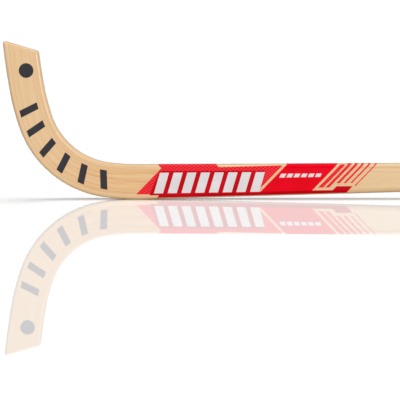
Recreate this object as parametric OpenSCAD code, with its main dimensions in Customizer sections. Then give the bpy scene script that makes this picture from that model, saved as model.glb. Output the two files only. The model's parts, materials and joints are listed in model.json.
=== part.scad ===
// Rink hockey stick: a bent laminated wooden stick that stands on its heel, hook upwards.
// X runs along the shaft (the toe is at -X, the butt at +X), Y through the thickness, Z up.
// The origin is the centre of the underside of the whole stick's box.

/* [Shaft] */
// Length of the straight shaft, from the heel to the butt
shaft_length = 760; // [680:5:790]
// Width of the shaft at the butt
butt_width = 33.8; // [33:0.2:37]
// Distance from the heel over which the shaft narrows
taper_length = 520; // [480:10:600]
// Rounding of the long edges where the shaft has narrowed
grip_rounding = 9.5; // [6:0.5:9.5]
// Rounding around the end of the butt
butt_rounding = 2.5; // [1:0.5:4]

/* [Hook] */
// Width of the hook and of the heel
hook_width = 44.6; // [43:0.2:47]
// Thickness of the whole stick, from face to face
thickness = 20; // [19.5:0.5:22]
// Rounding of the long edges of the hook
hook_rounding = 4; // [2:0.5:4.5]
// Radius of the inner edge where the bend starts
heel_radius = 300; // [260:10:340]
// Angle that this first stretch turns
heel_angle = 7.6; // [6:0.2:9]
// Radius of the inner edge in the middle of the bend
bend_radius = 90.4; // [84:0.4:100]
// Angle that the middle of the bend turns
bend_angle = 64; // [58:1:66]
// Radius of the inner edge where the bend runs out
blade_radius = 267; // [240:1:300]
// Angle that this stretch turns
blade_angle = 8.9; // [7.5:0.1:10]
// Radius of the inner edge along the nearly straight tip
tip_radius = 940; // [800:20:1200]
// Length of the tip's inner edge
tip_length = 44.5; // [36:0.5:60]
// Angle between the toe's cut and a square cut
toe_cut = 23.8; // [18:0.1:28]
// Corner radius of the toe at the inner edge
toe_inner_corner = 3; // [2:0.5:5]
// Corner radius of the toe at the outer edge
toe_outer_corner = 2.6; // [2:0.2:4]

/* [Laminate] */
// Thickness of the inner ply
inner_ply_t = 4.6; // [4.6:0.1:5]
// Thickness of each of the two glass fibre layers
fibre_t = 0.6; // [0.4:0.1:0.8]
// Thickness of each core ply
core_ply_t = 6.4; // [6.2:0.1:6.5]

/* [Decals] */
// Thickness of one printed film
film_t = 0.15; // [0.1:0.05:0.2]
// Sideways lean of the panel edges for each millimetre across the shaft
slant = 0.98; // [0.9:0.01:1]
// Bare wood between the lower strip and the bottom edge
bottom_margin = 1.7; // [1:0.1:2.5]
// Number of white blocks
block_count = 8; // [4:1:8]
// Number of small white dashes
dash_count = 6; // [3:1:6]
// Number of black bars on the hook
bar_count = 6; // [3:1:6]

/* [Hidden] */

// Where each layer starts, measured from the inner edge
first_core = inner_ply_t + fibre_t;
core_count = 5;
outer_fibre_at = first_core + core_count * core_ply_t;
outer_ply_at = outer_fibre_at + fibre_t;

// The inner edge of the hook: four arcs that meet at tangents, from the heel to the toe
arc_radius = [heel_radius, bend_radius, blade_radius, tip_radius];
tip_angle = degrees(tip_length / tip_radius);
arc_angle = [heel_angle, bend_angle, blade_angle, tip_angle];
arc_steps = [2, 20, 4, 2];
tip = len(arc_radius) - 1;

// The heading at the start of each arc, and the point where it starts
heading = [for (i = 0, a = 180; i <= tip; a = a - arc_angle[i], i = i + 1) a];
arc_start = [for (i = 0, p = [0, hook_width]; i <= tip; p = arc_end(i, p), i = i + 1) p];
arc_length = [for (i = [0:tip]) arc_radius[i] * arc_angle[i] * PI / 180];

// The toe's slanted rings run from a square ring this far before the tip's end
toe_zone = 22;
square_angle = tip_angle - degrees(toe_zone / tip_radius);
toe_fractions = [0.4, 0.75, 0.88, 0.95, 1];
// The last of a ply that runs out at the shaft's lower edge is left this thick
feather_t = 0.25;
// The sweep is trimmed to the shaft's length by a cut
trim = 0.5;
shaft_stations = [0, 60, 120, 180, 240, 300, 360, 440, 520, 620];
butt_fractions = [0, 0.5, 0.8, 0.95, 1];

function degrees(a) = a * 180 / PI;
function dir(a) = [cos(a), sin(a)];
function lerp(a, b, f) = a + (b - a) * f;
function taper(x) = max(0, min(1, x / taper_length));
function width_at(x) = lerp(hook_width, butt_width, taper(x));
function rounding_at(x) = lerp(hook_rounding, grip_rounding, taper(x));

// How far the rounding of radius r draws a face back, at the distance d from its edge
function drawn_back(r, d) = r - sqrt(r * r - pow(max(0, r - d), 2));
function butt_inset(x) = drawn_back(butt_rounding, max(0, shaft_length - x));

function arc_end(i, p) =
    p + arc_radius[i] * (dir(heading[i] - 90) + dir(heading[i] - arc_angle[i] + 90));

// The point at the angle a along arc i, at the depth u from the inner edge, as [x, z]
function bend_point(i, a, u) =
    arc_start[i] + arc_radius[i] * dir(heading[i] - 90)
    + (arc_radius[i] + u) * dir(heading[i] - a + 90);

// How far the toe's cut lies beyond a square cut at the depth u, with both corners rounded
function toe_reach(u) =
    let (near = toe_inner_corner, far = hook_width - toe_outer_corner)
    u < near * (1 - sin(toe_cut))
        ? near * tan(toe_cut) - near / cos(toe_cut) + half_chord(near, u - near)
    : u > far - toe_outer_corner * sin(toe_cut)
        ? far * tan(toe_cut) - toe_outer_corner / cos(toe_cut) + half_chord(toe_outer_corner, u - far)
    : u * tan(toe_cut);
function half_chord(r, x) = sqrt(max(0, r * r - x * x));
function toe_angle(u) = tip_angle + degrees(toe_reach(u) / (tip_radius + u));

// A station is [arc, angle, toe fraction]; on the shaft it is [-1, x, 0]
stations = concat(
    [for (x = shaft_stations) if (x < shaft_length - butt_rounding) [-1, x, 0]],
    [for (f = butt_fractions) [-1, shaft_length - butt_rounding * (1 - f), 0]],
    [[-1, shaft_length + trim, 0]]);
hook_stations = concat(
    [for (i = [0:tip - 1], k = [1:arc_steps[i]]) [i, arc_angle[i] * k / arc_steps[i], 0]],
    [for (k = [1:arc_steps[tip]]) [tip, square_angle * k / arc_steps[tip], 0]],
    [for (f = toe_fractions) [tip, square_angle, f]]);
function angle_at(s, u) = s[2] > 0 ? lerp(s[1], toe_angle(u), s[2]) : s[1];
function point_at(s, u) =
    s[0] < 0 ? [s[1], hook_width - u] : bend_point(s[0], angle_at(s, u), u);
function toe_distance(s, u) =
    s[2] > 0 ? (toe_angle(u) - angle_at(s, u)) * PI / 180 * (tip_radius + u) * cos(toe_cut)
             : thickness;
function x_of(s) = s[0] < 0 ? s[1] : 0;

// Half the thickness at the depth u: flat in the middle, rounded towards every edge
function half_at(s, u) =
    let (w = width_at(x_of(s)), d = min(u, w - u, toe_distance(s, u)))
    thickness / 2 - drawn_back(rounding_at(x_of(s)), max(0, d)) - butt_inset(x_of(s));

// Where a layer that starts at the depth u runs out of the tapering shaft
function run_out(u) =
    hook_width - feather_t - u > hook_width - butt_width
        ? shaft_length + trim
        : (hook_width - feather_t - u) / (hook_width - butt_width) * taper_length;

// One layer of the stick, from the depth u0 to u1, with its section sampled at the fractions
module layer(u0, u1, fractions) {
    limit = run_out(u0);
    tail = limit < shaft_length ? [[-1, limit, 0]] : [];
    on_shaft = concat([for (s = stations) if (s[1] < limit + trim / 2) s], tail);
    rings = concat([for (i = [len(on_shaft) - 1:-1:0]) on_shaft[i]], hook_stations);
    n = len(fractions);
    points = [for (s = rings) each
        let (k = butt_inset(x_of(s)), top = max(u0, k), low = min(u1, width_at(x_of(s)) - k))
        [for (side = [-1, 1], i = [0:n - 1])
            let (u = lerp(top, low, fractions[side < 0 ? i : n - 1 - i]), p = point_at(s, u))
            [p[0], side * half_at(s, u), p[1]]]];
    place() difference() {
        polyhedron(points, tube_faces(len(rings), n), convexity = 6);
        translate([shaft_length, -thickness, -hook_width])
            cube([2 * trim, 2 * thickness, 4 * hook_width]);
    }
}

// The faces of a closed tube of rings, each with n points on one side and n back on the other
function tube_faces(rings, n) =
    let (m = 2 * n, last = (rings - 1) * m)
    concat(
        [for (r = [0:rings - 2], i = [0:m - 1])
            [r * m + i, r * m + (i + 1) % m, (r + 1) * m + (i + 1) % m, (r + 1) * m + i]],
        [for (i = [0:n - 2]) [m - 1 - i, m - 2 - i, i + 1, i]],
        [for (i = [0:n - 2]) [last + i, last + i + 1, last + m - 2 - i, last + m - 1 - i]]);

// The stick's box is centred on the origin along X
toe_left = min([for (f = [0:0.05:1])
    let (u = hook_width - toe_outer_corner * f) bend_point(tip, toe_angle(u), u)[0]]);
module place() {
    translate([-(toe_left + shaft_length) / 2, 0, 0]) children();
}

// Fractions that gather the samples where a section is rounded
near_start = [0, 0.06, 0.22, 0.48, 0.75, 1];
near_end = [for (i = [len(near_start) - 1:-1:0]) 1 - near_start[i]];
evenly = [0, 0.33, 0.67, 1];
flat = [0, 1];

module inner_ply() {
    color("burlywood") layer(0, inner_ply_t, near_start);
}

module inner_fibre_layer() {
    color("peru") layer(inner_ply_t, first_core, flat);
}

module core_ply(i, fractions) {
    color(i % 2 == 0 ? "burlywood" : "wheat")
        layer(first_core + (i - 1) * core_ply_t, first_core + i * core_ply_t, fractions);
}

module outer_fibre_layer() {
    color("peru") layer(outer_fibre_at, outer_ply_at, flat);
}

module outer_ply() {
    color("burlywood") layer(outer_ply_at, hook_width, near_end);
}

// A printed film wraps the face and the long edges of the shaft, as far as its middle line
skin_stations = [-12, 0, 60, 120, 180, 240, 300, 320];
skin_angles = [0, 22.5, 45, 67.5, 90];
function skin_line(x, lift) =
    let (r = rounding_at(x), w = width_at(x), edge = thickness / 2 - r)
    concat(
        [[-lift, 0]],
        [for (a = skin_angles) [r - (r + lift) * cos(a), edge + (r + lift) * sin(a)]],
        [for (i = [len(skin_angles) - 1:-1:0])
            let (a = skin_angles[i]) [w - r + (r + lift) * cos(a), edge + (r + lift) * sin(a)]]);
module skin() {
    n = len(skin_line(0, 0));
    points = [for (x = [for (i = [len(skin_stations) - 1:-1:0]) skin_stations[i]])
        let (out = skin_line(x, film_t), wood = skin_line(x, 0))
        each [for (i = [0:2 * n - 1])
            let (q = i < n ? out[i] : wood[2 * n - 1 - i]) [x, -q[1], hook_width - q[0]]]];
    polyhedron(points, tube_faces(len(skin_stations), n), convexity = 6);
}

// The children are drawn as [x, depth from the top edge] on the shaft, and pressed to a film
module shaft_film() {
    intersection() {
        skin();
        translate([0, 0, hook_width]) rotate([90, 0, 0])
            linear_extrude(thickness) mirror([0, 1]) children();
    }
}

// A flat film on the front face, raised by the layers under it
module face_film(layers) {
    translate([0, -thickness / 2 - layers * film_t, hook_width]) rotate([90, 0, 0])
        linear_extrude(film_t) mirror([0, 1]) children();
}

// Panel corners on the shaft: distance from the heel, and depth from the top edge
over_edge = -1;
weave_tip = [-5.2, 37.9];
notch = [27.7, 4];
barb = [22.9, over_edge];
step_top = [97.9, over_edge];
step_low = [102.6, 3.1];
weave_end = [184.7, 1.4];
plain_start = [191.5, over_edge];
plain_end = [257.2, over_edge];
channel_end = [223.2, 34];
channel_floor = [249.6, 33.8];
block_start = [254.8, 28.7];
block_end = [275.6, 28.7];
strip_start = [12.4, 39.3];
strip_notch = [24.3, 39.3];

// The lower strip's ends on its bottom edge, and that edge's depth
strip_left = 22;
strip_right = 267.4;
function strip_bottom(x) = width_at(x) - bottom_margin;
function leaned(p, depth) = [p[0] - slant * (depth - p[1]), depth];
weave_foot = leaned(weave_end, 35.2);
plain_foot = leaned(plain_start, 35.1);

module weave_panel() {
    color("crimson") shaft_film()
        polygon([weave_tip, notch, barb, step_top, step_low, weave_end, weave_foot,
                 [strip_start[0], weave_tip[1]]]);
}

module plain_panel() {
    color("red") shaft_film() polygon([plain_foot, plain_start, plain_end, channel_end]);
}

module lower_strip() {
    color("firebrick") shaft_film()
        polygon([[strip_start[0], weave_tip[1]], weave_foot, plain_foot, channel_end,
                 channel_floor, block_start, block_end, [strip_right, strip_bottom(strip_right)],
                 [strip_left, strip_bottom(strip_left)], strip_notch, strip_start]);
}

// Slanted stripes, each narrower than the last, spaced by their middle lines.
// The first one stops just short of the top edge, and the others wrap over it.
stripe_start = [264.8, over_edge];
stripe_pitch = 8.5;
stripe_widths = [6.6, 5, 4.3, 3.5, 2.7, 2];
stripe_depths = [30.4, 30.4, 24.8, 24.8, 24.8, 28.3];
first_stripe_top = 0.8;
module stripes() {
    color("crimson") shaft_film() for (i = [0:len(stripe_widths) - 1]) {
        middle = [stripe_start[0] + i * stripe_pitch, stripe_start[1]];
        half = [stripe_widths[i] / 2, 0];
        top = leaned(middle, i == 0 ? first_stripe_top : over_edge);
        foot = leaned(middle, stripe_depths[i]);
        polygon([top - half, top + half, foot + half, foot - half]);
    }
}

module mark_backing() {
    color("firebrick") face_film(1)
        polygon([[strip_start[0], weave_tip[1]], [25.4, 7.8], [160, 7.8], [162.5, 12], weave_foot]);
}

// A row of slanted marks on the shaft, between two depths. Their feet follow the taper's half.
foot_rise = (hook_width - butt_width) / taper_length / 2;
module mark_row(count, start, run, fill, depths, lean) {
    pitch = run / count;
    for (i = [0:count - 1]) {
        x = start + i * pitch;
        low = [for (at = [x, x + fill * pitch]) depths[1] - foot_rise * at];
        polygon([[x, depths[0]], [x + fill * pitch, depths[0]],
                 [x + fill * pitch - lean * (low[1] - depths[0]), low[1]],
                 [x - lean * (low[0] - depths[0]), low[0]]]);
    }
}

module white_blocks() {
    color("gainsboro") face_film(2)
        mark_row(block_count, start = 26, run = 142, fill = 0.66, depths = [9.8, 37], lean = 0.3);
}

module white_dashes() {
    color("white") face_film(1)
        mark_row(dash_count, start = 183, run = 55, fill = 0.74, depths = [12, 18.9], lean = 0.5);
}

// The point and the heading at the distance s along the hook's inner edge
function arc_of(s, i = 0) = i == tip || s <= arc_length[i] ? [i, s] : arc_of(s - arc_length[i], i + 1);
module on_hook(s) {
    at = arc_of(s);
    turn = degrees(at[1] / arc_radius[at[0]]);
    translate(bend_point(at[0], turn, 0)) rotate(heading[at[0]] - turn) children();
}
module hook_film() {
    translate([0, -thickness / 2, 0]) rotate([90, 0, 0]) linear_extrude(film_t) children();
}

// The row of bars starts and ends at [distance along the hook, depth from the inner edge]
first_bar = [43.5, 9.4];
last_bar = [157, 13.2];
bar_length = 24.7;
bar_width = 9;
bar_lean = 5;
module hook_bars() {
    color("black") hook_film() for (i = [0:bar_count - 1]) {
        at = lerp(first_bar, last_bar, i / (bar_count - 1));
        on_hook(at[0]) translate([-(bar_width + bar_lean) / 2, at[1]])
            polygon([[bar_lean, 0], [bar_lean + bar_width, 0], [bar_width, bar_length], [0, bar_length]]);
    }
}

disc_at = [205, 19.2];
disc_r = 9.5;
module toe_disc() {
    color("black") hook_film() on_hook(disc_at[0]) translate([0, disc_at[1]]) circle(disc_r, $fn = 96);
}

module front() {
    place() children();
}

module back() {
    place() mirror([0, 1, 0]) children();
}

inner_ply();
inner_fibre_layer();
core_ply(1, evenly);  // core_ply_1
core_ply(2, flat);  // core_ply_2
core_ply(3, flat);  // core_ply_3
core_ply(4, evenly);  // core_ply_4
core_ply(5, near_end);  // core_ply_5
outer_fibre_layer();
outer_ply();
front() weave_panel();  // front_weave_panel
front() plain_panel();  // front_plain_panel
front() lower_strip();  // front_lower_strip
front() stripes();  // front_stripes
front() mark_backing();  // front_mark_backing
front() white_blocks();  // front_white_blocks
front() white_dashes();  // front_white_dashes
front() hook_bars();  // front_hook_bars
front() toe_disc();  // front_toe_disc
back() weave_panel();  // back_weave_panel
back() plain_panel();  // back_plain_panel
back() lower_strip();  // back_lower_strip
back() stripes();  // back_stripes
back() mark_backing();  // back_mark_backing
back() white_blocks();  // back_white_blocks
back() white_dashes();  // back_white_dashes
back() hook_bars();  // back_hook_bars
back() toe_disc();  // back_toe_disc
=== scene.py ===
"""The finished look of a laminated rink hockey stick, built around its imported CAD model.

Shapes are worked out in millimetres on the stick itself: x runs from the heel along the shaft,
the depth u runs from the inner (top) edge to the outer (bottom) edge, and they are turned into
the frame's metres when a mesh is made.
"""

import json
import math

import bmesh
import bpy
from mathutils import Matrix, Vector


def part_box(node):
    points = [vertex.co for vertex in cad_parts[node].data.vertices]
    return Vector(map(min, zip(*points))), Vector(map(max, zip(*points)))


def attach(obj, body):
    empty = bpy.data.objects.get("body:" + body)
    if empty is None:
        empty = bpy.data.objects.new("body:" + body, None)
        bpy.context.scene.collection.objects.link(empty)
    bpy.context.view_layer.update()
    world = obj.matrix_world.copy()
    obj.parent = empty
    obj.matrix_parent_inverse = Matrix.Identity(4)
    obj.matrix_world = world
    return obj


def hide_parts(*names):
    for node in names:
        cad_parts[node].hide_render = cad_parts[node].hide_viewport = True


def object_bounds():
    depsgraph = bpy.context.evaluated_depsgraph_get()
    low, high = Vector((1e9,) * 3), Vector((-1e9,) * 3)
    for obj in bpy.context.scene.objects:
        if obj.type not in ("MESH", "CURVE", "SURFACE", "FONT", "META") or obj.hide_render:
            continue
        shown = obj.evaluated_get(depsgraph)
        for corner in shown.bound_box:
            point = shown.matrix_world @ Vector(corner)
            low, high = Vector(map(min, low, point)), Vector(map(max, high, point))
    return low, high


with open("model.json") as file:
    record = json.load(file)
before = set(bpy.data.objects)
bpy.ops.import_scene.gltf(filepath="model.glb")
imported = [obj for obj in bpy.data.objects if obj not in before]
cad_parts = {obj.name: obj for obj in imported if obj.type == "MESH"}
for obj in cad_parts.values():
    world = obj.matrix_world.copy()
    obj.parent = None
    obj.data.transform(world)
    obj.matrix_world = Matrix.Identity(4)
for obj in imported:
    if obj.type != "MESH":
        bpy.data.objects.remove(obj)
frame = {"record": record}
CAD_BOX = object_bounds()

MM = 0.001


def low_corner(node):
    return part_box(node)[0] / MM


def high_corner(node):
    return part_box(node)[1] / MM


# ---------------------------------------------------------------- sizes of the stick

HOOK_WIDTH = 44.6
SHAFT_LENGTH = 760.0
TAPER_LENGTH = 520.0
HOOK_ROUNDING = 4.0
GRIP_ROUNDING = 9.5
BUTT_ROUNDING = 2.5

THICKNESS = 2 * high_corner("core_ply_3").y
HEEL_X = CAD_BOX[1].x / MM - SHAFT_LENGTH
BUTT_MIDDLE = frame["record"]["mounts"][0]["pos_m"][2] / MM
BUTT_WIDTH = 2 * (HOOK_WIDTH - BUTT_MIDDLE)

# Radius and turn of each arc of the inner edge, from the heel to the toe
TIP_LENGTH = 44.5
ARCS = [(300.0, 7.6), (90.4, 64.0), (267.0, 8.9), (940.0, math.degrees(TIP_LENGTH / 940.0))]
TIP = len(ARCS) - 1
TOE_CUT = math.radians(23.8)
TOE_INNER_CORNER = 3.0
TOE_OUTER_CORNER = 2.6

PLIES = ["inner_ply", "inner_fibre_layer", "core_ply_1", "core_ply_2", "core_ply_3",
         "core_ply_4", "core_ply_5", "outer_fibre_layer", "outer_ply"]
# The depth at which each layer ends, read from how low it lies at the heel
PLY_ENDS = [HOOK_WIDTH - low_corner(node).z for node in PLIES]
FEATHER = 0.25

FILM = 0.15


# ---------------------------------------------------------------- geometry of the stick

def lerp(a, b, f):
    return a + (b - a) * f


def taper(x):
    return max(0.0, min(1.0, x / TAPER_LENGTH))


def width_at(x):
    return lerp(HOOK_WIDTH, BUTT_WIDTH, taper(x))


def rounding_at(x):
    return lerp(HOOK_ROUNDING, GRIP_ROUNDING, taper(x))


def drawn_back(r, d):
    """How far a rounding of radius r draws a face back, at the distance d from its edge."""
    return r - math.sqrt(r * r - max(0.0, r - d) ** 2)


def half_chord(r, x):
    return math.sqrt(max(0.0, r * r - x * x))


def towards(degrees):
    return Vector((math.cos(math.radians(degrees)), math.sin(math.radians(degrees))))


def arc_starts():
    """Start point and heading of each arc of the inner edge, as [x, height] and degrees."""
    point, heading, starts = Vector((0.0, HOOK_WIDTH)), 180.0, []
    for radius, turn in ARCS:
        starts.append((point, heading))
        point = point + radius * (towards(heading - 90) + towards(heading - turn + 90))
        heading -= turn
    return starts


ARC_STARTS = arc_starts()


def bend_point(arc, turn, u):
    """The point on the hook at an angle along an arc, at the depth u."""
    (start, heading), radius = ARC_STARTS[arc], ARCS[arc][0]
    return start + radius * towards(heading - 90) + (radius + u) * towards(heading - turn + 90)


def toe_reach(u):
    """How far the slanted toe lies beyond a square cut at the depth u, with rounded corners."""
    painted_contact_shadow, far = TOE_INNER_CORNER, HOOK_WIDTH - TOE_OUTER_CORNER
    if u < painted_contact_shadow * (1 - math.sin(TOE_CUT)):
        return painted_contact_shadow * math.tan(TOE_CUT) - painted_contact_shadow / math.cos(TOE_CUT) + half_chord(painted_contact_shadow, u - painted_contact_shadow)
    if u > far - TOE_OUTER_CORNER * math.sin(TOE_CUT):
        corner = TOE_OUTER_CORNER
        return far * math.tan(TOE_CUT) - corner / math.cos(TOE_CUT) + half_chord(corner, u - far)
    return u * math.tan(TOE_CUT)


def toe_turn(u):
    radius, turn = ARCS[TIP]
    return turn + math.degrees(toe_reach(u) / (radius + u))


class Ring:
    """One cross-section of the stick: on the shaft at x, or on an arc at an angle.

    Near the toe the rings slant more and more, until the last one follows the toe's cut.
    """

    def __init__(self, x=None, arc=None, turn=0.0, slant=0.0, inset=0.0):
        self.x, self.arc, self.turn, self.slant, self.inset = x, arc, turn, slant, inset
        self.width = width_at(x or 0.0)
        self.rounding = rounding_at(x or 0.0)

    def turn_at(self, u):
        return lerp(self.turn, toe_turn(u), self.slant) if self.slant else self.turn

    def point(self, u):
        if self.arc is None:
            return Vector((self.x, HOOK_WIDTH - u))
        return bend_point(self.arc, self.turn_at(u), u)

    def toe_distance(self, u):
        if not self.slant:
            return THICKNESS
        left = math.radians(toe_turn(u) - self.turn_at(u)) * (ARCS[TIP][0] + u)
        return left * math.cos(TOE_CUT)

    def half_thickness(self, u):
        edge = max(0.0, min(u, self.width - u, self.toe_distance(u)))
        return THICKNESS / 2 - drawn_back(self.rounding, edge) - self.inset

    def along(self, u):
        """Distance along the grain, from the heel towards the butt."""
        if self.arc is None:
            return self.x
        middle = HOOK_WIDTH / 2
        passed = sum((r + middle) * math.radians(turn) for r, turn in ARCS[:self.arc])
        return -passed - (ARCS[self.arc][0] + middle) * math.radians(self.turn_at(u))

    def wrap(self, u):
        """Length of the section's outline from the inner edge to the depth u."""
        r, quarter = self.rounding, self.rounding * math.pi / 2
        if u < r:
            return r * math.acos(1 - u / r)
        if u <= self.width - r:
            return quarter + u - r
        return 2 * quarter + self.width - 2 * r - self.wrap(max(0.0, self.width - u))

    def unwrap(self, p):
        """The depth that lies at the length p along the section's outline."""
        r, quarter = self.rounding, self.rounding * math.pi / 2
        whole = 2 * quarter + self.width - 2 * r
        if p < quarter:
            return r * (1 - math.cos(p / r))
        if p <= whole - quarter:
            return r + p - quarter
        return self.width - self.unwrap(whole - p)


SHAFT_STEP = 8.0
BEND_STEP = 1.0
TIP_STEPS = 6
TOE_ZONE = 22.0
TOE_STEPS = 14
BUTT_STEPS = 8


def butt_rings():
    """Rings that follow the quarter circle around the butt."""
    rings = []
    for k in range(BUTT_STEPS + 1):
        a = math.pi / 2 * k / BUTT_STEPS
        x = SHAFT_LENGTH - BUTT_ROUNDING * (1 - math.sin(a))
        rings.append(Ring(x=x, inset=BUTT_ROUNDING * (1 - math.cos(a))))
    return rings


def shaft_rings(limit):
    """Rings along the shaft up to the limit, which is the butt for a layer that reaches it."""
    plain_end = min(limit, SHAFT_LENGTH - BUTT_ROUNDING)
    count = math.ceil(plain_end / SHAFT_STEP)
    rings = [Ring(x=k * SHAFT_STEP) for k in range(count)]
    return rings + (butt_rings() if limit >= SHAFT_LENGTH else [Ring(x=limit)])


def hook_rings():
    """Rings from the heel round the bend to the toe."""
    rings = []
    for arc, (radius, turn) in enumerate(ARCS[:TIP]):
        count = round(turn / BEND_STEP)
        rings += [Ring(arc=arc, turn=turn * k / count) for k in range(1, count + 1)]
    square = ARCS[TIP][1] - math.degrees(TOE_ZONE / ARCS[TIP][0])
    rings += [Ring(arc=TIP, turn=square * k / TIP_STEPS) for k in range(1, TIP_STEPS + 1)]
    for k in range(1, TOE_STEPS + 1):
        slant = math.sin(math.pi / 2 * k / TOE_STEPS)
        rings.append(Ring(arc=TIP, turn=square, slant=slant))
    return rings


def run_out(u):
    """How far along the shaft a layer that starts at the depth u stays in the tapering wood."""
    left = HOOK_WIDTH - FEATHER - u
    if left > HOOK_WIDTH - BUTT_WIDTH:
        return SHAFT_LENGTH
    return left / (HOOK_WIDTH - BUTT_WIDTH) * TAPER_LENGTH


def in_frame(x, y, z):
    """A point on the stick, in the frame's metres."""
    return Vector(((x + HEEL_X) * MM, y * MM, z * MM))


# ---------------------------------------------------------------- making meshes

SHARP_ANGLE = math.radians(32)


def add_values(mesh, name, kind, field, values):
    attribute = mesh.attributes.new(name, kind, "POINT")
    for item, value in zip(attribute.data, values):
        setattr(item, field, value)


def finish_piece(name, node, mesh, material):
    """Puts a finished mesh in the scene in the place of a CAD node."""
    mesh.polygons.foreach_set("use_smooth", [True] * len(mesh.polygons))
    mesh.set_sharp_from_angle(angle=SHARP_ANGLE)
    mesh.materials.append(material)
    piece = bpy.data.objects.new(name, mesh)
    bpy.context.scene.collection.objects.link(piece)
    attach(piece, "root")
    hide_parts(node)


def tube_faces(rings, n):
    """Faces of a closed tube whose rings have n points on one side and n back on the other."""
    m = 2 * n
    faces = []
    for r in range(rings - 1):
        for i in range(m):
            j = (i + 1) % m
            faces.append((r * m + i, r * m + j, r * m + m + j, r * m + m + i))
    last = (rings - 1) * m
    for i in range(n - 1):
        faces.append((m - 1 - i, m - 2 - i, i + 1, i))
        faces.append((last + i, last + i + 1, last + m - 2 - i, last + m - 1 - i))
    return faces


def recalculated(mesh):
    """The same mesh with all its faces turned outwards."""
    bm = bmesh.new()
    bm.from_mesh(mesh)
    bmesh.ops.recalc_face_normals(bm, faces=bm.faces)
    bm.to_mesh(mesh)
    bm.free()
    return mesh


# ---------------------------------------------------------------- the plies

def make_ply(node, material, samples):
    """One bent lath of the laminate, or one fibre layer, from end to end of the stick."""
    index = PLIES.index(node)
    top, low = PLY_ENDS[index - 1] if index else 0.0, PLY_ENDS[index]
    rings = list(reversed(shaft_rings(run_out(top)))) + hook_rings()
    points, grain, seam = [], [], []
    for ring in rings:
        start = max(top, ring.inset)
        end = min(low, ring.width - ring.inset)
        wrap_start, wrap_end = ring.wrap(start), ring.wrap(end)
        steps = [lerp(wrap_start, wrap_end, k / (samples - 1)) for k in range(samples)]
        depths = [start, *(ring.unwrap(p) for p in steps[1:-1]), end]
        for side, order in ((-1, depths), (1, depths[::-1])):
            for u in order:
                x, z = ring.point(u)
                y = side * ring.half_thickness(u)
                points.append(in_frame(x, y, z))
                grain.append(Vector((ring.along(u), u, y)) * MM)
                to_inner = u - top if index else HOOK_WIDTH
                to_outer = low - u if index < len(PLIES) - 1 else HOOK_WIDTH
                seam.append(min(to_inner, to_outer) * MM)
    mesh = bpy.data.meshes.new(node + "_lath")
    mesh.from_pydata(points, [], tube_faces(len(rings), samples))
    add_values(mesh, "grain", "FLOAT_VECTOR", "vector", grain)
    add_values(mesh, "seam", "FLOAT", "value", seam)
    finish_piece(node + "_lath", node, recalculated(mesh), material)


# ---------------------------------------------------------------- the printed films

def on_shaft(x, lift, u):
    """A film's point on the shaft's face, its long edges, or past them on the top strip."""
    r, w = rounding_at(x), width_at(x)
    edge = THICKNESS / 2 - r
    if u < 0:
        return Vector((x, -(edge + u), HOOK_WIDTH + lift))
    if u < r:
        a = math.acos(1 - u / r)
        return Vector((x, -edge - (r + lift) * math.sin(a), HOOK_WIDTH - r + (r + lift) * math.cos(a)))
    if u > w - r:
        a = math.acos(max(-1.0, 1 - (w - u) / r))
        height = HOOK_WIDTH - w + r - (r + lift) * math.cos(a)
        return Vector((x, -edge - (r + lift) * math.sin(a), height))
    return Vector((x, -THICKNESS / 2 - lift, HOOK_WIDTH - u))


def arc_at(s):
    """The arc and the angle at the distance s along the hook's inner edge."""
    for arc, (radius, turn) in enumerate(ARCS):
        length = radius * math.radians(turn)
        if s <= length or arc == TIP:
            return arc, math.degrees(s / radius)
        s -= length


def on_hook(s):
    """Places flat marks on the hook's face at the distance s along its inner edge."""
    arc, turn = arc_at(s)
    origin = bend_point(arc, turn, 0.0)
    heading = ARC_STARTS[arc][1] - turn

    def placed(a, lift, depth):
        p = origin + a * towards(heading) + depth * towards(heading + 90)
        return Vector((p.x, -THICKNESS / 2 - lift, p.y))
    return placed


def flat_outline(bm, outline):
    """Adds an outline as faces in the drawing plane, where x is along and z is the depth."""
    face = bm.faces.new([bm.verts.new((x, 0.0, u)) for x, u in outline])
    face.normal_update()
    bmesh.ops.triangulate(bm, faces=[face], ngon_method="EAR_CLIP")


def cut(bm, point, normal, clear=False):
    """Cuts the drawn faces along a line, and drops what lies beyond it if clear is set."""
    geometry = bm.verts[:] + bm.edges[:] + bm.faces[:]
    bmesh.ops.bisect_plane(bm, geom=geometry, dist=1e-5, plane_co=point, plane_no=normal,
                           clear_outer=clear)


CURVE_STEPS = 9
FILM_STEP = 10.0


def fold_over_top(bm):
    """Carries a film that reaches the top edge over the top strip, to the middle line."""
    cut(bm, (0, 0, 0), (0, 0, -1), clear=True)
    at_edge = [e for e in bm.edges if all(abs(v.co.z) < 1e-4 for v in e.verts)]
    new = bmesh.ops.extrude_edge_only(bm, edges=at_edge)["geom"]
    for vertex in [v for v in new if isinstance(v, bmesh.types.BMVert)]:
        vertex.co.z = -(THICKNESS / 2 - rounding_at(vertex.co.x))


def cut_for_roundings(bm):
    """Adds the lines along which a film bends over the shaft's rounded edges."""
    reach = TAPER_LENGTH
    for k in range(1, CURVE_STEPS + 1):
        share = 1 - math.cos(math.pi / 2 * k / CURVE_STEPS)
        painted_contact_shadow, far = HOOK_ROUNDING * share, GRIP_ROUNDING * share
        cut(bm, (0, 0, painted_contact_shadow), (far - painted_contact_shadow, 0, -reach))
        painted_contact_shadow, far = HOOK_WIDTH - painted_contact_shadow, BUTT_WIDTH - far
        cut(bm, (0, 0, painted_contact_shadow), (far - painted_contact_shadow, 0, -reach))


def cut_along(bm):
    """Adds cross lines, so that a film follows the taper."""
    low = min(v.co.x for v in bm.verts)
    high = max(v.co.x for v in bm.verts)
    for k in range(math.ceil(low / FILM_STEP), math.ceil(high / FILM_STEP)):
        cut(bm, (k * FILM_STEP, 0, 0), (1, 0, 0))


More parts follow.
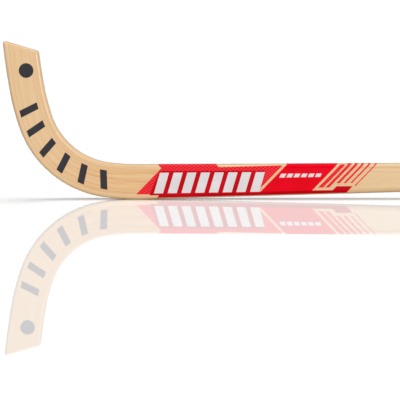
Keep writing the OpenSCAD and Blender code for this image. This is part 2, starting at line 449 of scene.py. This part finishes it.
def make_film(node, drawings, material, layers=0, wraps=False):
    """A printed film: each drawing is a pair of a placing function and a list of outlines."""
    whole = bmesh.new()
    prints = whole.verts.layers.float_vector.new("print")
    side = -1 if node.startswith("back_") else 1
    for place, outlines in drawings:
        bm = bmesh.new()
        for outline in outlines:
            flat_outline(bm, outline)
        if wraps:
            fold_over_top(bm)
            cut_for_roundings(bm)
            cut_along(bm)
        bmesh.ops.remove_doubles(bm, verts=bm.verts, dist=1e-4)
        raised = bmesh.ops.extrude_face_region(bm, geom=bm.faces[:], use_keep_orig=True)["geom"]
        for vertex in [v for v in raised if isinstance(v, bmesh.types.BMVert)]:
            vertex.co.y = FILM
        copies = {}
        for vertex in bm.verts:
            a, lift, depth = vertex.co
            p = place(a, lift + layers * FILM, depth)
            copies[vertex] = whole.verts.new(in_frame(p.x, side * p.y, p.z))
            copies[vertex][prints] = Vector((a, depth, lift)) * MM
        for face in bm.faces:
            whole.faces.new([copies[v] for v in face.verts])
        bm.free()
    bmesh.ops.recalc_face_normals(whole, faces=whole.faces)
    mesh = bpy.data.meshes.new(node + "_print")
    whole.to_mesh(mesh)
    whole.free()
    finish_piece(node + "_print", node, mesh, material)


# Corners of the panels on the shaft: distance from the heel, and depth from the top edge
SLANT = 0.98
OVER_EDGE = -1.0
WEAVE_TIP = (-5.2, 37.9)
NOTCH = (27.7, 4.0)
BARB = (22.9, OVER_EDGE)
STEP_TOP = (97.9, OVER_EDGE)
STEP_LOW = (102.6, 3.1)
WEAVE_END = (184.7, 1.4)
PLAIN_START = (191.5, OVER_EDGE)
PLAIN_END = (257.2, OVER_EDGE)
CHANNEL_END = (223.2, 34.0)
CHANNEL_FLOOR = (249.6, 33.8)
BLOCK_START = (254.8, 28.7)
BLOCK_END = (275.6, 28.7)
STRIP_START = (12.4, 39.3)
STRIP_NOTCH = (24.3, 39.3)
STRIP_LEFT = 22.0
STRIP_RIGHT = 267.4
BOTTOM_MARGIN = 1.7
BACKING_START = (25.4, 7.8)
BACKING_END = (160.0, 7.8)
BACKING_BEND = (162.5, 12.0)


def leaned(corner, depth):
    """The point below a corner, at a depth, along the slant of the panels' ends."""
    return (corner[0] - SLANT * (depth - corner[1]), depth)


WEAVE_FOOT = leaned(WEAVE_END, 35.2)
PLAIN_FOOT = leaned(PLAIN_START, 35.1)
STRIP_TOP = (STRIP_START[0], WEAVE_TIP[1])


def weave_panel():
    return [[WEAVE_TIP, NOTCH, BARB, STEP_TOP, STEP_LOW, WEAVE_END, WEAVE_FOOT, STRIP_TOP]]


def plain_panel():
    return [[PLAIN_FOOT, PLAIN_START, PLAIN_END, CHANNEL_END]]


def lower_strip():
    right = (STRIP_RIGHT, width_at(STRIP_RIGHT) - BOTTOM_MARGIN)
    left = (STRIP_LEFT, width_at(STRIP_LEFT) - BOTTOM_MARGIN)
    return [[STRIP_TOP, WEAVE_FOOT, PLAIN_FOOT, CHANNEL_END, CHANNEL_FLOOR, BLOCK_START,
             BLOCK_END, right, left, STRIP_NOTCH, STRIP_START]]


STRIPE_START = (264.8, OVER_EDGE)
STRIPE_PITCH = 8.5
STRIPE_WIDTHS = [6.6, 5.0, 4.3, 3.5, 2.7, 2.0]
STRIPE_DEPTHS = [30.4, 30.4, 24.8, 24.8, 24.8, 28.3]
FIRST_STRIPE_TOP = 0.8


def stripes():
    """Slanted stripes, each narrower than the last. All but the first wrap over the top."""
    outlines = []
    for i, (across, depth) in enumerate(zip(STRIPE_WIDTHS, STRIPE_DEPTHS)):
        middle = (STRIPE_START[0] + i * STRIPE_PITCH, STRIPE_START[1])
        top_x, top = leaned(middle, OVER_EDGE if i else FIRST_STRIPE_TOP)
        foot_x, foot = leaned(middle, depth)
        half = across / 2
        outlines.append([(top_x - half, top), (top_x + half, top),
                         (foot_x + half, foot), (foot_x - half, foot)])
    return outlines


def mark_backing():
    return [[STRIP_TOP, BACKING_START, BACKING_END, BACKING_BEND, WEAVE_FOOT]]


FOOT_RISE = (HOOK_WIDTH - BUTT_WIDTH) / TAPER_LENGTH / 2


def mark_row(count, start, run, fill, depths, lean):
    """A row of slanted marks on the shaft, between two depths."""
    pitch = run / count
    outlines = []
    for i in range(count):
        left = start + i * pitch
        right = left + fill * pitch
        low_left, low_right = (depths[1] - FOOT_RISE * x for x in (left, right))
        outlines.append([(left, depths[0]), (right, depths[0]),
                         (right - lean * (low_right - depths[0]), low_right),
                         (left - lean * (low_left - depths[0]), low_left)])
    return outlines


def white_blocks():
    return mark_row(8, start=26.0, run=142.0, fill=0.66, depths=(9.8, 37.0), lean=0.3)


def white_dashes():
    return mark_row(6, start=183.0, run=55.0, fill=0.74, depths=(12.0, 18.9), lean=0.5)


BAR_COUNT = 6
FIRST_BAR = (43.5, 9.4)
LAST_BAR = (157.0, 13.2)
BAR_LENGTH = 24.7
BAR_WIDTH = 9.0
BAR_LEAN = 5.0
DISC_AT = (205.0, 19.2)
DISC_RADIUS = 9.5
DISC_CORNERS = 96


def hook_bars():
    """Slanted bars on the hook, with the place of each."""
    drawings = []
    for i in range(BAR_COUNT):
        share = i / (BAR_COUNT - 1)
        top = lerp(FIRST_BAR[1], LAST_BAR[1], share)
        left = -(BAR_WIDTH + BAR_LEAN) / 2
        outline = [(left + BAR_LEAN, top), (left + BAR_LEAN + BAR_WIDTH, top),
                   (left + BAR_WIDTH, top + BAR_LENGTH), (left, top + BAR_LENGTH)]
        drawings.append((on_hook(lerp(FIRST_BAR[0], LAST_BAR[0], share)), [outline]))
    return drawings


def toe_disc():
    turns = [2 * math.pi * k / DISC_CORNERS for k in range(DISC_CORNERS)]
    outline = [(DISC_RADIUS * math.cos(a), DISC_AT[1] + DISC_RADIUS * math.sin(a)) for a in turns]
    return [(on_hook(DISC_AT[0]), [outline])]


# ---------------------------------------------------------------- materials

class Surface:
    """A principled material, with short ways to add nodes to it."""

    def __init__(self, name):
        self.material = bpy.data.materials.new(name)
        self.material.use_nodes = True
        self.nodes = self.material.node_tree.nodes
        self.shader = self.nodes["Principled BSDF"]

    def link(self, source, target):
        self.material.node_tree.links.new(source, target)

    def add(self, kind, **settings):
        node = self.nodes.new(kind)
        for key, value in settings.items():
            setattr(node, key, value)
        return node

    def feed(self, socket, value):
        """Sets a socket to a number or colour, or links another node's output to it."""
        if isinstance(value, bpy.types.NodeSocket):
            self.link(value, socket)
        else:
            socket.default_value = value

    def attribute(self, name):
        node = self.add("ShaderNodeAttribute", attribute_name=name)
        return node.outputs["Vector"], node.outputs["Fac"]

    def stretched(self, vector, scale, shift=(0, 0, 0)):
        node = self.add("ShaderNodeMapping")
        self.link(vector, node.inputs["Vector"])
        node.inputs["Scale"].default_value = scale
        node.inputs["Location"].default_value = shift
        return node.outputs["Vector"]

    def noise(self, vector, detail, roughness=0.55, distortion=0.0):
        """Noise whose size is set by how the vector was stretched."""
        node = self.add("ShaderNodeTexNoise")
        self.link(vector, node.inputs["Vector"])
        node.inputs["Scale"].default_value = 1.0
        node.inputs["Detail"].default_value = detail
        node.inputs["Roughness"].default_value = roughness
        node.inputs["Distortion"].default_value = distortion
        return node.outputs["Fac"]

    def ranged(self, value, low, high, to_low=0.0, to_high=1.0):
        """The value's range from low to high, spread smoothly over another range."""
        node = self.add("ShaderNodeMapRange", interpolation_type="SMOOTHSTEP")
        self.link(value, node.inputs["Value"])
        node.inputs["From Min"].default_value = low
        node.inputs["From Max"].default_value = high
        node.inputs["To Min"].default_value = to_low
        node.inputs["To Max"].default_value = to_high
        return node.outputs["Result"]

    def math(self, operation, a, b=0.0):
        node = self.add("ShaderNodeMath", operation=operation)
        self.feed(node.inputs[0], a)
        self.feed(node.inputs[1], b)
        return node.outputs[0]

    def mix(self, factor, a, b, blend="MIX"):
        node = self.add("ShaderNodeMix", data_type="RGBA", blend_type=blend)
        self.feed(node.inputs["Factor"], factor)
        self.feed(node.inputs[6], a)
        self.feed(node.inputs[7], b)
        return node.outputs[2]

    def bump(self, height, strength, distance):
        node = self.add("ShaderNodeBump")
        self.link(height, node.inputs["Height"])
        node.inputs["Strength"].default_value = strength
        node.inputs["Distance"].default_value = distance
        self.link(node.outputs["Normal"], self.shader.inputs["Normal"])

    def finish(self, colour, roughness, specular, coat=0.0, coat_roughness=0.1):
        self.feed(self.shader.inputs["Base Color"], colour)
        self.feed(self.shader.inputs["Roughness"], roughness)
        self.shader.inputs["Specular IOR Level"].default_value = specular
        self.shader.inputs["Coat Weight"].default_value = coat
        self.shader.inputs["Coat Roughness"].default_value = coat_roughness
        return self.material


def srgb(red, green, blue):
    """A colour picked on a screen, 0 to 255, as the linear colour that a shader takes."""
    linear = []
    for value in (red, green, blue):
        v = value / 255
        linear.append(v / 12.92 if v <= 0.04045 else ((v + 0.055) / 1.055) ** 2.4)
    return (*linear, 1.0)


# Stretches of the grain, in metres from the heel, over which the wood's tone changes
TOE_STRETCH = (-0.16, -0.01)
GRIP_STRETCH = (0.0, 0.33)


def lacquered_wood(name, pale, middle, warm, shift):
    """Straight-grained wood under satin lacquer, with its grain along the bent lath."""
    s = Surface(name)
    grain, _ = s.attribute("grain")
    _, seam = s.attribute("seam")
    apart = s.add("ShaderNodeSeparateXYZ")
    s.link(grain, apart.inputs[0])
    broad = s.noise(s.stretched(grain, (5, 170, 170), shift), detail=2)
    streaks = s.noise(s.stretched(grain, (12, 460, 460), shift), detail=2, roughness=0.6)
    fibres = s.noise(s.stretched(grain, (40, 2800, 2800), shift), detail=3, roughness=0.65)
    pores = s.noise(s.stretched(grain, (130, 4200, 4200), shift), detail=1)
    colour = s.mix(s.ranged(broad, 0.34, 0.66), middle, pale)
    colour = s.mix(s.ranged(streaks, 0.5, 0.68, 0.0, 0.85), colour, warm)
    towards_toe = s.ranged(apart.outputs["X"], *TOE_STRETCH, 0.5, 0.0)
    colour = s.mix(towards_toe, colour, srgb(233, 200, 157))
    towards_grip = s.ranged(apart.outputs["X"], *GRIP_STRETCH, 0.0, 0.6)
    colour = s.mix(towards_grip, colour, srgb(223, 193, 149))
    shade = s.ranged(fibres, 0.3, 0.7, 0.93, 1.04)
    colour = s.mix(1.0, colour, shade, "MULTIPLY")
    pore = s.ranged(pores, 0.7, 0.78, 0.0, 0.3)
    colour = s.mix(pore, colour, srgb(150, 100, 62))
    glue = s.ranged(seam, 0.00005, 0.00035, 0.14, 0.0)
    glue = s.math("MULTIPLY", glue, s.ranged(apart.outputs["X"], *GRIP_STRETCH, 1.0, 0.2))
    colour = s.mix(glue, colour, srgb(176, 122, 74))
    height = s.math("SUBTRACT", fibres, pore)
    s.bump(height, 0.15, 0.0001)
    return s.finish(colour, s.ranged(fibres, 0.3, 0.7, 0.36, 0.48), specular=0.28,
                    coat=0.2, coat_roughness=0.2)


def glass_fibre(name):
    """A resin-soaked glass fibre layer, seen edge on between two laths."""
    s = Surface(name)
    grain, _ = s.attribute("grain")
    strands = s.noise(s.stretched(grain, (60, 5200, 5200)), detail=2)
    patches = s.noise(s.stretched(grain, (14, 900, 900)), detail=2)
    colour = s.mix(s.ranged(strands, 0.35, 0.65), srgb(204, 159, 110), srgb(223, 184, 136))
    colour = s.mix(s.ranged(patches, 0.4, 0.7, 0.0, 0.5), colour, srgb(214, 175, 127))
    s.bump(strands, 0.15, 0.0001)
    return s.finish(colour, s.ranged(strands, 0.3, 0.7, 0.3, 0.42), specular=0.28,
                    coat=0.2, coat_roughness=0.2)


def film_finish(s, colour, gloss_low, gloss_high, specular):
    """The fine orange peel, rubbed spots and hairline scuffs that every printed film has."""
    spot, _ = s.attribute("print")
    peel = s.noise(s.stretched(spot, (420, 420, 420)), detail=2)
    rubbed = s.noise(s.stretched(spot, (40, 55, 40)), detail=4, roughness=0.6)
    hairs = s.noise(s.stretched(spot, (70, 1500, 70)), detail=2, roughness=0.6, distortion=0.3)
    scuffs = s.math("MULTIPLY", s.ranged(hairs, 0.6, 0.75), s.ranged(rubbed, 0.5, 0.7))
    colour = s.mix(s.math("MULTIPLY", scuffs, 0.035), colour, srgb(240, 225, 222))
    s.bump(peel, 0.08, 0.0001)
    roughness = s.ranged(s.math("ADD", rubbed, scuffs), 0.35, 1.1, gloss_low, gloss_high)
    return s.finish(colour, roughness, specular)


LOZENGE_LENGTH = 5.6 * MM
LOZENGE_HEIGHT = 3.6 * MM


def woven_red(name):
    """A red film printed with rows of small lozenges, each row set off by half a lozenge."""
    s = Surface(name)
    spot, _ = s.attribute("print")
    apart = s.add("ShaderNodeSeparateXYZ")
    s.link(spot, apart.inputs[0])
    across = s.math("COSINE", s.math("MULTIPLY", apart.outputs["X"], 2 * math.pi / LOZENGE_LENGTH))
    down = s.math("COSINE", s.math("MULTIPLY", apart.outputs["Y"], 2 * math.pi / LOZENGE_HEIGHT))
    lozenge = s.ranged(s.math("MULTIPLY", across, down), -0.5, 0.5)
    ink = s.noise(s.stretched(spot, (90, 90, 90)), detail=3)
    colour = s.mix(lozenge, srgb(214, 4, 26), srgb(255, 56, 68))
    colour = s.mix(s.ranged(ink, 0.35, 0.7, 0.0, 0.12), colour, srgb(214, 8, 32))
    return film_finish(s, colour, 0.42, 0.55, 0.05)


def plain_film(name, low, high, specular, gloss=(0.36, 0.5)):
    """A plain printed film whose ink varies a little."""
    s = Surface(name)
    spot, _ = s.attribute("print")
    patches = s.noise(s.stretched(spot, (22, 60, 22)), detail=2)
    colour = s.mix(s.ranged(patches, 0.35, 0.65), low, high)
    return film_finish(s, colour, *gloss, specular)


def ply_tones():
    """Wood of the laths: the outside ones, and the two that alternate in the core."""
    return {
        "edge_ply": lacquered_wood("edge_lath_wood", srgb(230, 194, 146), srgb(225, 184, 131),
                                   srgb(221, 162, 104), (0, 0, 0)),
        "core_ply_warm": lacquered_wood("warm_lath_wood", srgb(228, 186, 134),
                                        srgb(223, 177, 119), srgb(215, 156, 96), (3, 1, 7)),
        "core_ply_pale": lacquered_wood("pale_lath_wood", srgb(230, 190, 139),
                                        srgb(225, 182, 125), srgb(218, 162, 101), (9, 5, 2)),
    }


# ---------------------------------------------------------------- floor, light and camera

ROLL = math.radians(0.33)
ELEVATION = math.radians(6)
DISTANCE = 4.0
VIEW_WIDTH = 0.520
VIEW_CENTRE = Vector((-0.2145, 0.0, -0.0021))
FLOOR_REACH = 30.0
MIRROR_SHARE = 0.42
SURROUND_LIGHT = 0.16
SURROUND_SHEEN = 0.6
FLOOR_WHITE = 1.28
FLOOR_BOUNCE = 0.45
CONTACT_REACH = 0.034
CONTACT_SHADE = 0.76


def contact_shade(tree):
    """A painted contact shadow: a factor that darkens the floor a little more where the stick comes
    close to it.
    """
    nearness = tree.nodes.new("ShaderNodeAmbientOcclusion")
    nearness.samples = 16
    nearness.inputs["Distance"].default_value = CONTACT_REACH
    shade = tree.nodes.new("ShaderNodeMapRange")
    shade.inputs["From Min"].default_value = 0.3
    shade.inputs["From Max"].default_value = 0.95
    shade.inputs["To Min"].default_value = CONTACT_SHADE
    tree.links.new(nearness.outputs["AO"], shade.inputs["Value"])
    return shade.outputs["Result"]


def polished_floor():
    """A white floor with an even, sharp reflection, level in the picture under the heel.

    It looks white, but throws little light back up, so that undersides stay darker. Its colour and
    reflection carry a painted contact shadow near the stick.
    """
    reach = FLOOR_REACH
    mesh = bpy.data.meshes.new("floor")
    corners = [(-reach, -reach, 0), (reach, -reach, 0), (reach, reach, 0), (-reach, reach, 0)]
    mesh.from_pydata(corners, [], [(0, 1, 2, 3)])
    floor = bpy.data.objects.new("floor", mesh)
    bpy.context.scene.collection.objects.link(floor)
    floor.location = (HEEL_X * MM, 0, 0)
    floor.rotation_euler = (0, ROLL, 0)
    material = bpy.data.materials.new("white_gloss_floor")
    material.use_nodes = True
    tree = material.node_tree
    tree.nodes.remove(tree.nodes["Principled BSDF"])
    white = tree.nodes.new("ShaderNodeBsdfDiffuse")
    # Painted contact shadow: both the floor's colour and its reflection are darkened where the stick
    # comes close.
    painted_contact_shadow = contact_shade(tree)
    brightness = tree.nodes.new("ShaderNodeMath")
    brightness.operation = "MULTIPLY"
    brightness.inputs[1].default_value = FLOOR_WHITE
    tree.links.new(painted_contact_shadow, brightness.inputs[0])
    tree.links.new(brightness.outputs[0], white.inputs["Color"])
    gloss = tree.nodes.new("ShaderNodeBsdfGlossy")
    tree.links.new(painted_contact_shadow, gloss.inputs["Color"])
    gloss.inputs["Roughness"].default_value = 0.0
    polished = tree.nodes.new("ShaderNodeMixShader")
    polished.inputs["Fac"].default_value = MIRROR_SHARE
    dull = tree.nodes.new("ShaderNodeBsdfDiffuse")
    dull.inputs["Color"].default_value = (FLOOR_BOUNCE, FLOOR_BOUNCE, FLOOR_BOUNCE, 1)
    ray = tree.nodes.new("ShaderNodeLightPath")
    seen = tree.nodes.new("ShaderNodeMixShader")
    tree.links.new(white.outputs["BSDF"], polished.inputs[1])
    tree.links.new(gloss.outputs["BSDF"], polished.inputs[2])
    tree.links.new(ray.outputs["Is Diffuse Ray"], seen.inputs["Fac"])
    tree.links.new(polished.outputs["Shader"], seen.inputs[1])
    tree.links.new(dull.outputs["BSDF"], seen.inputs[2])
    tree.links.new(seen.outputs["Shader"], tree.nodes["Material Output"].inputs["Surface"])
    mesh.materials.append(material)


def white_room():
    """A white surround that looks whiter than the light and sheen it gives, so shade remains."""
    world = bpy.data.worlds.new("white_room")
    world.use_nodes = True
    tree = world.node_tree
    tree.nodes["Background"].inputs["Color"].default_value = (1, 1, 1, 1)
    ray = tree.nodes.new("ShaderNodeLightPath")
    strength = 1.0
    for seen_by, share in (("Is Glossy Ray", SURROUND_SHEEN), ("Is Singular Ray", 1.0),
                           ("Is Diffuse Ray", SURROUND_LIGHT)):
        step = tree.nodes.new("ShaderNodeMix")
        step.inputs["B"].default_value = share
        tree.links.new(ray.outputs[seen_by], step.inputs["Factor"])
        if isinstance(strength, float):
            step.inputs["A"].default_value = strength
        else:
            tree.links.new(strength, step.inputs["A"])
        strength = step.outputs["Result"]
    tree.links.new(strength, tree.nodes["Background"].inputs["Strength"])
    bpy.context.scene.world = world
    bpy.context.scene.view_settings.view_transform = "Standard"
    bpy.context.scene.view_settings.look = "None"


def soft_sun(name, towards_light, spread, share, shadow=True):
    """A wide, far light. Its share is the part of full white that it adds to a surface facing it."""
    light = bpy.data.lights.new(name, "SUN")
    light.angle = math.radians(spread)
    light.energy = math.pi * share
    light.use_shadow = shadow
    lamp = bpy.data.objects.new(name, light)
    bpy.context.scene.collection.objects.link(lamp)
    lamp.rotation_euler = Vector(towards_light).to_track_quat("Z", "Y").to_euler()


def studio_lights():
    soft_sun("overhead_box", (0.1, 0.16, 1.0), 36, 0.6)
    soft_sun("front_box", (0.28, -1.0, 0.06), 20, 0.73, shadow=False)


def camera():
    """A long lens square to the stick, a little above it and turned so the shaft climbs."""
    right, up = Vector((1, 0, 0)), Vector((0, math.sin(ELEVATION), math.cos(ELEVATION)))
    back = right.cross(up)
    tilted_right = right * math.cos(ROLL) - up * math.sin(ROLL)
    tilted_up = right * math.sin(ROLL) + up * math.cos(ROLL)
    data = bpy.data.cameras.new("camera")
    data.lens = data.sensor_width * DISTANCE / VIEW_WIDTH
    data.clip_start, data.clip_end = 0.1, 100
    eye = bpy.data.objects.new("camera", data)
    bpy.context.scene.collection.objects.link(eye)
    turn = Matrix((tilted_right, tilted_up, back)).transposed().to_4x4()
    eye.matrix_world = Matrix.Translation(VIEW_CENTRE + back * DISTANCE) @ turn
    bpy.context.scene.camera = eye


# ---------------------------------------------------------------- putting it together

EDGE_SAMPLES = 15
CORE_SAMPLES = 9
FIBRE_SAMPLES = 3


def make_laminate():
    woods = ply_tones()
    fibre = glass_fibre("resin_glass_fibre")
    for node in ("inner_ply", "outer_ply"):
        make_ply(node, woods["edge_ply"], EDGE_SAMPLES)
    for k in range(1, 6):
        slot = "core_ply_warm" if k % 2 else "core_ply_pale"
        make_ply(f"core_ply_{k}", woods[slot], CORE_SAMPLES)
    for node in ("inner_fibre_layer", "outer_fibre_layer"):
        make_ply(node, fibre, FIBRE_SAMPLES)


def make_films():
    weave = woven_red("woven_red_ink")
    red = plain_film("red_ink", srgb(228, 0, 24), srgb(236, 0, 32), 0.02)
    deep = plain_film("deep_red_ink", srgb(190, 0, 14), srgb(200, 0, 22), 0.03)
    white = plain_film("white_ink", srgb(218, 213, 214), srgb(225, 220, 221), 0.2, (0.4, 0.55))
    black = plain_film("black_ink", srgb(42, 40, 45), srgb(50, 48, 53), 0.1, (0.45, 0.6))
    for side in ("front_", "back_"):
        flat = [(on_shaft, mark_backing())]
        make_film(side + "weave_panel", [(on_shaft, weave_panel())], weave,
                  wraps=True)
        make_film(side + "stripes", [(on_shaft, stripes())], weave, wraps=True)
        make_film(side + "plain_panel", [(on_shaft, plain_panel())], red, wraps=True)
        make_film(side + "lower_strip", [(on_shaft, lower_strip())], deep,
                  wraps=True)
        make_film(side + "mark_backing", flat, deep, layers=1)
        make_film(side + "white_blocks", [(on_shaft, white_blocks())], white,
                  layers=2)
        make_film(side + "white_dashes", [(on_shaft, white_dashes())], white,
                  layers=1)
        make_film(side + "hook_bars", hook_bars(), black)
        make_film(side + "toe_disc", toe_disc(), black)


camera()
white_room()
studio_lights()
polished_floor()
make_laminate()
make_films()
